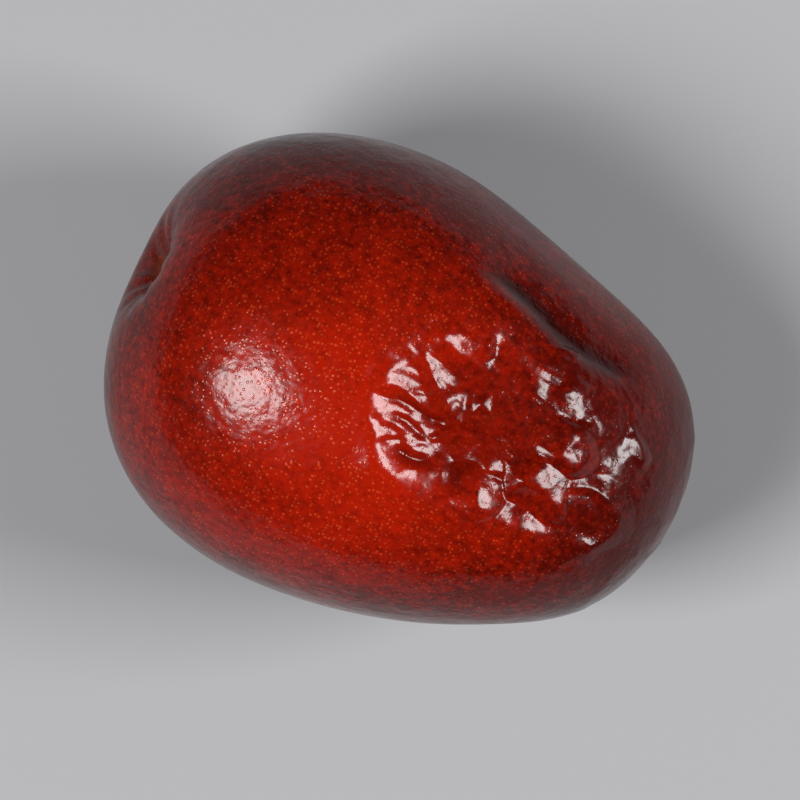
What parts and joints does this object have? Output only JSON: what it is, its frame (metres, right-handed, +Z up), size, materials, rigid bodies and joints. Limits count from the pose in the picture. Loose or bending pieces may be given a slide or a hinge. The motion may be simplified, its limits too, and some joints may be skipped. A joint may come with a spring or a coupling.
{
  "type": "dried jujube",
  "caption": "Whole dried jujube lying on its side: egg-like, smooth towards the stem end, wrinkled and sunken towards the tip, with a long groove beside the sunken part.",
  "frame": {"origin": "middle of the outline seen from above, on the flat spot that the fruit rests on", "axes": "+X along the fruit from the stem end to the tip, +Z up from the resting spot through the sunken side, +Y across, towards the long groove"},
  "size_m": [0.042, 0.0326, 0.0296],
  "materials": {
    "skin": "glossy dark red dried skin with small lighter dots, wrinkled where it has sunk"
  },
  "bodies": {
    "root": {"jujube_fruit": "skin"}
  },
  "joints": []
}
